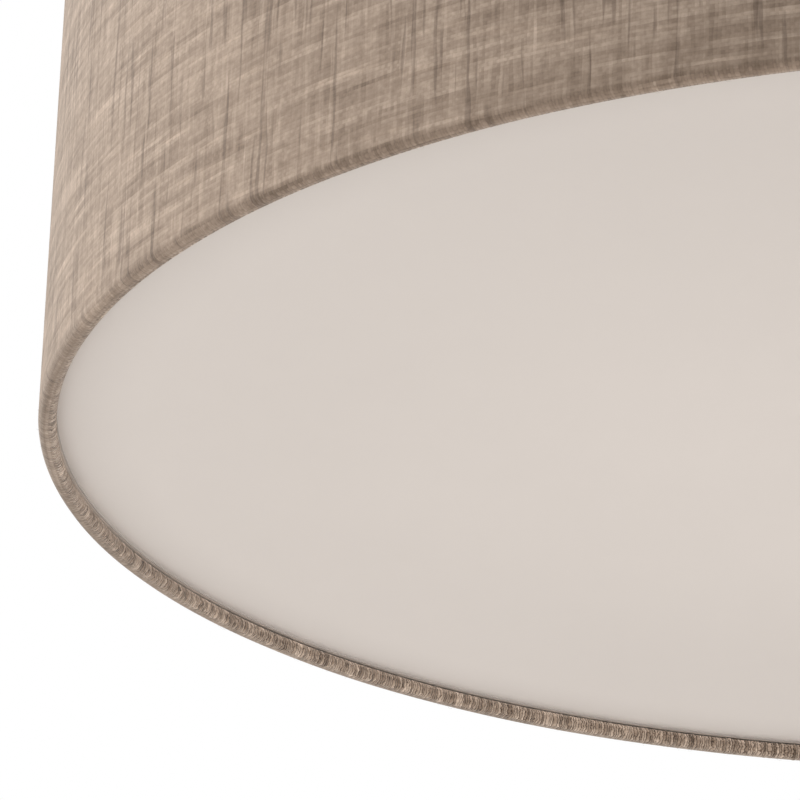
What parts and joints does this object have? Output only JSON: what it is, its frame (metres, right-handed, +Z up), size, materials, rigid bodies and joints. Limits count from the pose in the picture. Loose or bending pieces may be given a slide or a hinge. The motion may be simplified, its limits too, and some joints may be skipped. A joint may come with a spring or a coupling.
{
  "type": "pendant light",
  "caption": "Drum pendant light with a rolled linen shade, an opal diffuser, screw lamps on a cluster and a rigid stem on a knuckle swivel.",
  "frame": {"origin": "middle of the ceiling bracket's upper face, between its two screw slots", "axes": "+Z up into the ceiling, +X along the bracket's strap, -Y the side of the picture's camera"},
  "size_m": [0.6, 0.6, 0.575],
  "materials": {
    "zinc_plated_steel": "bright zinc",
    "powder_coated_steel": "matt white powder coat",
    "white_nylon": "satin",
    "satin_nickel": "satin",
    "ivory_nylon": "satin",
    "brass": "satin",
    "white_coated_wire": "gloss white epoxy",
    "white_pvc": "matt",
    "taupe_linen": "plain woven, slubbed yarns",
    "opal_acrylic": "matt opal",
    "pale_tape": "thin felt",
    "white_thermoplastic": "satin",
    "nickel_plated_cap": "bright",
    "bulb_housing": "satin white",
    "opal_glass": "satin opal"
  },
  "bodies": {
    "ceiling_mount": {"ceiling_bracket": "zinc_plated_steel", "bracket_nuts": "zinc_plated_steel", "ceiling_nipple": "zinc_plated_steel", "canopy": "powder_coated_steel", "canopy_bush": "white_nylon", "canopy_screws": "satin_nickel", "terminal_block": "ivory_nylon", "earth_screw": "brass", "swivel_nut": "zinc_plated_steel"},
    "swivel": {"swivel_top": "satin_nickel", "pivot_screws": "satin_nickel"},
    "stem": {"swivel_bottom": "satin_nickel", "upper_nipple": "zinc_plated_steel", "stem_tube": "satin_nickel", "stem_collar": "satin_nickel", "hub_cap": "satin_nickel", "lower_nipple": "zinc_plated_steel", "spider": "white_coated_wire", "top_ring": "white_coated_wire", "bottom_ring": "white_coated_wire", "shade_liner": "white_pvc", "shade_cover": "taupe_linen", "cluster_body": "powder_coated_steel", "cluster_nut": "zinc_plated_steel", "cluster_cover": "powder_coated_steel", "cover_finial": "satin_nickel", "lamp_nipples": "zinc_plated_steel", "lamp_nuts": "zinc_plated_steel", "lampholder_cap_1": "white_thermoplastic", "lampholder_body_1": "white_thermoplastic", "screw_shell_1": "brass", "centre_contact_1": "brass", "lampholder_cap_2": "white_thermoplastic", "lampholder_body_2": "white_thermoplastic", "screw_shell_2": "brass", "centre_contact_2": "brass", "lampholder_cap_3": "white_thermoplastic", "lampholder_body_3": "white_thermoplastic", "screw_shell_3": "brass", "centre_contact_3": "brass"},
    "diffuser_disc": {"diffuser": "opal_acrylic", "seat_tape": "pale_tape"},
    "bulb_1": {"bulb_cap_1": "nickel_plated_cap", "bulb_base_1": "bulb_housing", "bulb_globe_1": "opal_glass"},
    "bulb_2": {"bulb_cap_2": "nickel_plated_cap", "bulb_base_2": "bulb_housing", "bulb_globe_2": "opal_glass"},
    "bulb_3": {"bulb_cap_3": "nickel_plated_cap", "bulb_base_3": "bulb_housing", "bulb_globe_3": "opal_glass"}
  },
  "joints": [
    {"name": "swivel_turn", "type": "hinge", "parent": "ceiling_mount", "child": "swivel", "pos_m": [0, 0, -0.03], "axis": [0, 0, 1], "range_deg": [-175, 175]},
    {"name": "stem_tilt", "type": "hinge", "parent": "swivel", "child": "stem", "pos_m": [0, 0, -0.052], "axis": [1, 0, 0], "range_deg": [-45, 45]},
    {"name": "diffuser_lift", "type": "slide", "parent": "stem", "child": "diffuser_disc", "axis": [0, 0, 1], "range_m": [0, 0.06]},
    {"name": "bulb_1_unscrew", "type": "slide", "parent": "stem", "child": "bulb_1", "axis": [0.866, 0.5, 0], "range_m": [0, 0.03]},
    {"name": "bulb_2_unscrew", "type": "slide", "parent": "stem", "child": "bulb_2", "axis": [-0.866, 0.5, 0], "range_m": [0, 0.03]},
    {"name": "bulb_3_unscrew", "type": "slide", "parent": "stem", "child": "bulb_3", "axis": [0, -1, 0], "range_m": [0, 0.03]}
  ]
}
